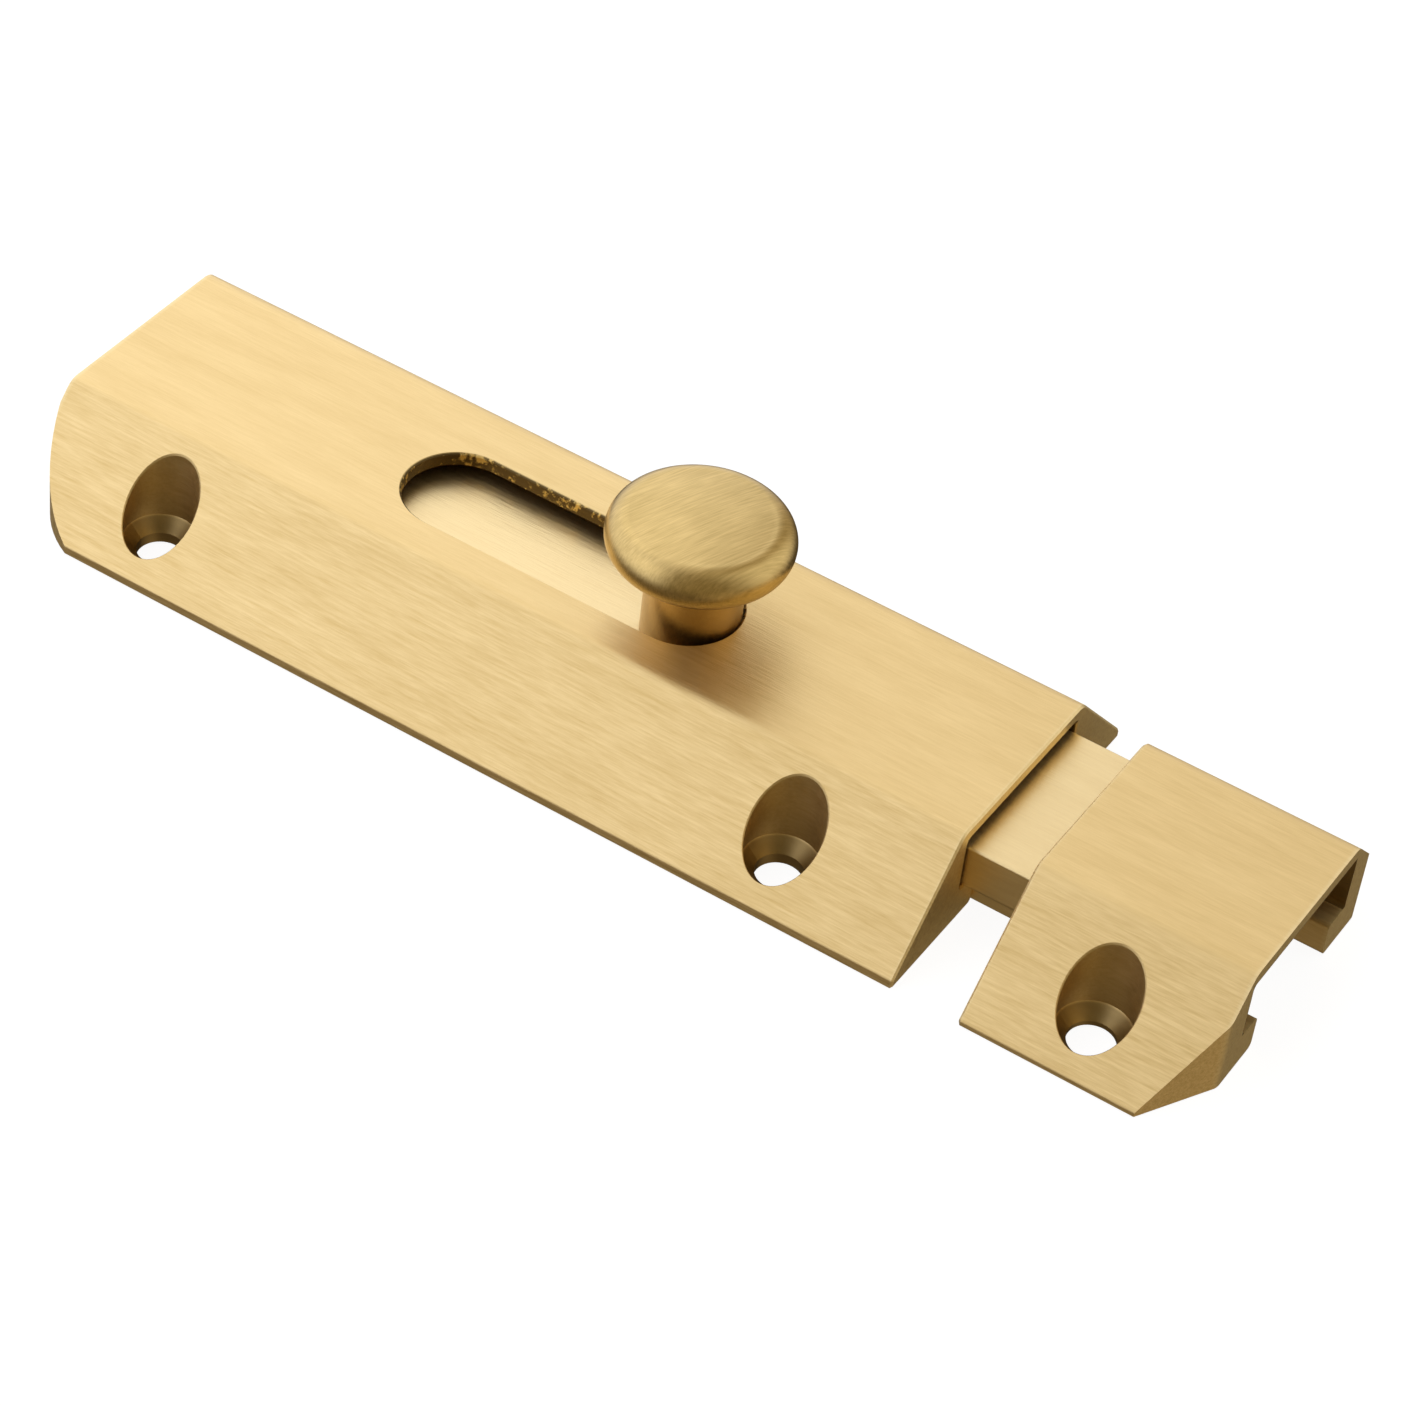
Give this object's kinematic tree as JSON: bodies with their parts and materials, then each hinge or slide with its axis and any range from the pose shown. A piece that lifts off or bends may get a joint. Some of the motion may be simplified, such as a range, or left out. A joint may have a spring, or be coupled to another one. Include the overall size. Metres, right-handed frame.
{
  "type": "barrel bolt",
  "caption": "Satin brass surface barrel bolt for a door or gate: a flat bar slides in a channelled casing with a slotted roof, moved by a mushroom knob into a matching keeper.",
  "frame": {"origin": "centre of the casing's four screw holes, on the back plane that meets the door", "axes": "+X along the throw, from the casing towards the keeper; +Z out from the door, along the screws; +Y across the bolt"},
  "size_m": [0.1288, 0.0418, 0.0227],
  "materials": {
    "brushed_brass": "satin, linear grain along the throw",
    "turned_brass": "satin, turned and hand brushed, a little duller",
    "screw_brass": "plain machined",
    "spring_bronze": "rolled strip"
  },
  "bodies": {
    "casing_body": {"casing": "brushed_brass", "friction_spring": "spring_bronze", "spring_rivet": "screw_brass"},
    "bolt_body": {"bolt_bar": "brushed_brass", "knob": "turned_brass", "knob_screw": "screw_brass"},
    "keeper_body": {"keeper": "brushed_brass"}
  },
  "joints": [
    {"name": "bolt_slide", "type": "slide", "parent": "casing_body", "child": "bolt_body", "axis": [1, 0, 0], "range_m": [-0.027, 0]},
    {"name": "keeper_withdraw", "type": "slide", "parent": "casing_body", "child": "keeper_body", "axis": [1, 0, 0], "range_m": [0, 0.018]}
  ]
}
